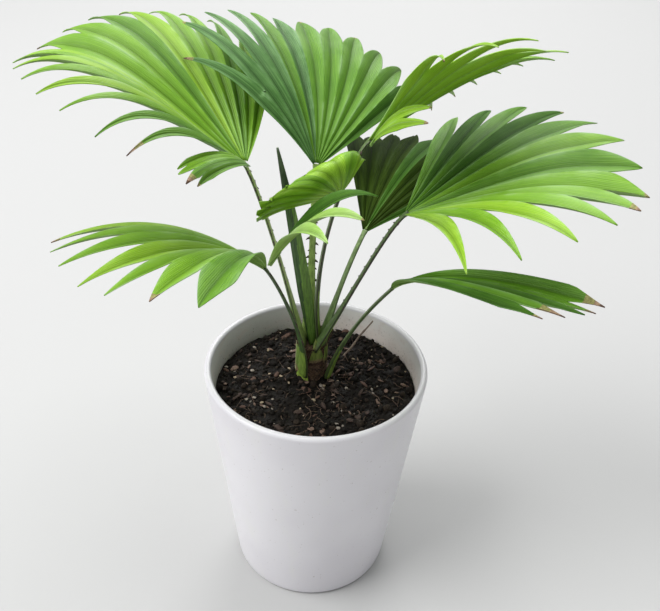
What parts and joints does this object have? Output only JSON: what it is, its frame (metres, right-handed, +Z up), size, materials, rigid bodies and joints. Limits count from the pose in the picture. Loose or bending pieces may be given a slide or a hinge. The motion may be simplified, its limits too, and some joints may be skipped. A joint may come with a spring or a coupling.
{
  "type": "potted young fan palm",
  "caption": "Young fan palm with pleated fan leaves on thin spiny stalks, standing in dark soil in a tall tapered white pot.",
  "frame": {"origin": "centre of the pot's flat underside", "axes": "+Z up out of the pot; -Y towards the side from which the plant is seen in the picture; +X to the right there"},
  "size_m": [0.4211, 0.3241, 0.4829],
  "materials": {
    "pot": "satin white glaze, slightly cool, a little darker and stained inside the lip",
    "soil": "dark loose potting mix with bark chips",
    "stem": "brown fibrous old leaf bases",
    "collar": "tan woven leaf fibre",
    "stalk": "smooth green leaf stalk with small spines",
    "fan": "pleated green palm leaf with a faint gloss",
    "twig": "dry grey-brown twig"
  },
  "bodies": {
    "root": {"pot": "pot", "soil": "soil", "stem": "stem", "fibre_collar": "collar", "dry_twig": "twig", "spear": "fan", "fan_upper_left": "fan", "stalk_upper_left": "stalk", "fan_upper_left_near": "fan", "fan_back": "fan", "stalk_back": "stalk", "fan_middle_far": "fan", "stalk_middle_far": "stalk", "fan_middle_front": "fan", "fan_middle_near": "fan", "fan_inner_right": "fan", "stalk_inner_right": "stalk", "fan_right": "fan", "stalk_right": "stalk", "fan_lower_left": "fan", "stalk_lower_left": "stalk", "fan_lower_left_near": "fan", "fan_low_right": "fan", "stalk_low_right": "stalk"}
  },
  "joints": []
}
